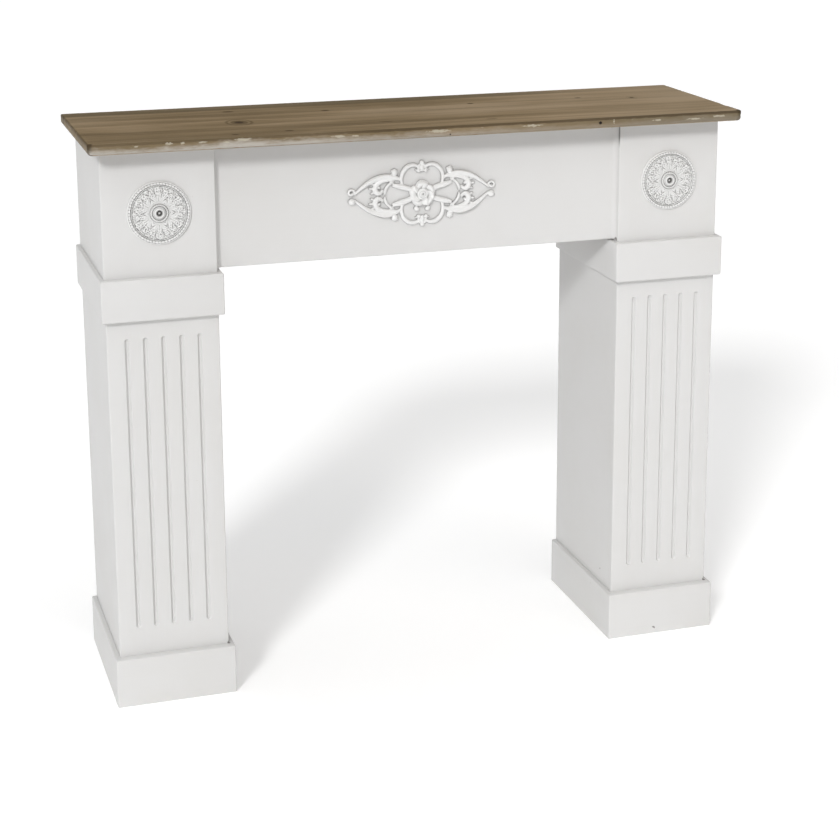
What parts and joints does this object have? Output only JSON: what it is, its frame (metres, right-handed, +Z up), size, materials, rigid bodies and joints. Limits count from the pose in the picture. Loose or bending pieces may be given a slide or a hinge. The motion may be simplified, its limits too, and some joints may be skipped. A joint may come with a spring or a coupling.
{
  "type": "fireplace mantelpiece",
  "caption": "White-painted wooden mantel surround with fluted hollow columns, a natural wood shelf, leaf rosettes and a scroll ornament.",
  "frame": {"origin": "on the floor, under the middle of the shelf's outline", "axes": "+Z up, +X along the shelf to the right as seen from the front, -Y out of the front"},
  "size_m": [1.1, 0.32, 0.9473],
  "materials": {
    "white_paint": "matt white paint on wood board",
    "chalky_casting": "matt white painted casting",
    "natural_wood": "weathered grey-brown wood with worn pale edges"
  },
  "bodies": {
    "root": {"mantel_shelf": "natural_wood", "frieze_board": "white_paint", "frieze_scroll": "chalky_casting", "rosette_left": "chalky_casting", "rosette_right": "chalky_casting", "column_front_left": "white_paint", "column_outer_left": "white_paint", "column_inner_left": "white_paint", "column_front_right": "white_paint", "column_outer_right": "white_paint", "column_inner_right": "white_paint", "base_front_left": "white_paint", "base_outer_left": "white_paint", "base_inner_left": "white_paint", "base_front_right": "white_paint", "base_outer_right": "white_paint", "base_inner_right": "white_paint", "collar_front_left": "white_paint", "collar_outer_left": "white_paint", "collar_inner_left": "white_paint", "collar_front_right": "white_paint", "collar_outer_right": "white_paint", "collar_inner_right": "white_paint"}
  },
  "joints": []
}
